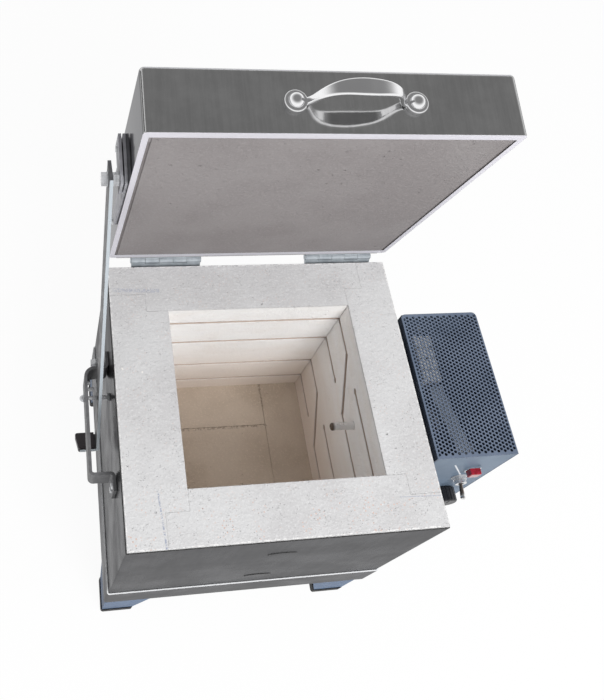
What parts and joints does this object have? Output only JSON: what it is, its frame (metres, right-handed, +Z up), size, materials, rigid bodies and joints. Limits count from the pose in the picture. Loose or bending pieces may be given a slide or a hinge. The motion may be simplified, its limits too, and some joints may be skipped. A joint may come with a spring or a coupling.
{
  "type": "jewellery kiln",
  "caption": "Small top-loading electric kiln with a firebrick chamber in a steel case, a hinged lid on a notched prop and a side control box.",
  "frame": {"origin": "middle of the whole kiln's box, with its lid open, on the surface that the feet stand on; the case's own middle is at x -29.5 mm, y -28 mm", "axes": "+X towards the control box, +Y towards the hinges, +Z up; the lid is open on its prop"},
  "size_m": [0.4261, 0.3425, 0.636],
  "materials": {
    "firebrick": "rough porous",
    "stainless": "brushed stainless sheet",
    "grey_paint": "blue-grey enamel",
    "black_pad": "matt",
    "element_wire": "oxidised wire",
    "white_ceramic": "unglazed",
    "probe_steel": "bright",
    "zinc_steel": "zinc plated",
    "chrome_trim": "polished",
    "black_plastic": "satin",
    "red_lens": "clear red"
  },
  "bodies": {
    "kiln_body": {"baffle_bracket": "grey_paint", "base_tray": "stainless", "box_spacers": "zinc_steel", "cable_gland": "black_plastic", "casing_shell": "stainless", "control_chassis": "grey_paint", "cover_screws": "zinc_steel", "element_lower": "element_wire", "element_upper": "element_wire", "floor_brick_back": "firebrick", "floor_brick_front": "firebrick", "floor_brick_right": "firebrick", "foot_back_left": "grey_paint", "foot_back_right": "grey_paint", "foot_front_left": "grey_paint", "foot_front_right": "grey_paint", "foot_pads": "black_pad", "hinge_case_screws": "zinc_steel", "hinge_left_case_leaf": "zinc_steel", "hinge_pins": "zinc_steel", "hinge_right_case_leaf": "zinc_steel", "lamp_body": "chrome_trim", "lamp_lens": "red_lens", "lead_insulators": "white_ceramic", "perforated_cover": "grey_paint", "prop_rod": "zinc_steel", "prop_strap": "zinc_steel", "regulator_body": "black_plastic", "rod_cap_nut": "zinc_steel", "strap_screws": "zinc_steel", "terminal_block": "white_ceramic", "thermocouple_head": "white_ceramic", "thermocouple_sheath": "probe_steel", "toggle_body": "black_plastic", "toggle_nut": "chrome_trim", "wall_brick_lower_back": "firebrick", "wall_brick_lower_front": "firebrick", "wall_brick_lower_left": "firebrick", "wall_brick_lower_right": "firebrick", "wall_brick_upper_back": "firebrick", "wall_brick_upper_front": "firebrick", "wall_brick_upper_left": "firebrick", "wall_brick_upper_right": "firebrick"},
    "lid": {"lid_shell": "stainless", "lid_bricks": "firebrick", "hinge_left_lid_leaf": "zinc_steel", "hinge_right_lid_leaf": "zinc_steel", "hinge_lid_screws": "zinc_steel", "handle": "chrome_trim", "handle_screws": "chrome_trim", "lid_bracket": "zinc_steel", "bracket_screws": "zinc_steel", "pivot_bolt": "zinc_steel", "pivot_nuts": "zinc_steel"},
    "prop_arm": {"prop_arm": "zinc_steel", "prop_grip": "black_plastic"},
    "toggle_lever": {"toggle_lever": "chrome_trim"},
    "control_knob": {"control_knob": "black_plastic", "regulator_spindle": "chrome_trim"}
  },
  "joints": [
    {"name": "lid_hinge", "type": "hinge", "parent": "kiln_body", "child": "lid", "pos_m": [-0.0295, 0.1195, 0.314], "axis": [1, 0, 0], "range_deg": [0, 78]},
    {"name": "prop_pivot", "type": "hinge", "parent": "lid", "child": "prop_arm", "pos_m": [-0.191, 0.08988, 0.50144], "axis": [1, 0, 0], "range_deg": [-54.6, 0]},
    {"name": "toggle_switch", "type": "hinge", "parent": "kiln_body", "child": "toggle_lever", "pos_m": [0.1815, -0.1073, 0.237], "axis": [-1, 0, 0], "range_deg": [0, 24]},
    {"name": "knob_turn", "type": "hinge", "parent": "kiln_body", "child": "control_knob", "pos_m": [0.1815, -0.113, 0.191], "axis": [0, 1, 0], "range_deg": [0, 270]}
  ],
  "couplings": [
    {"joint": "prop_pivot", "follows": "lid_hinge", "ratio": -0.6985}
  ]
}
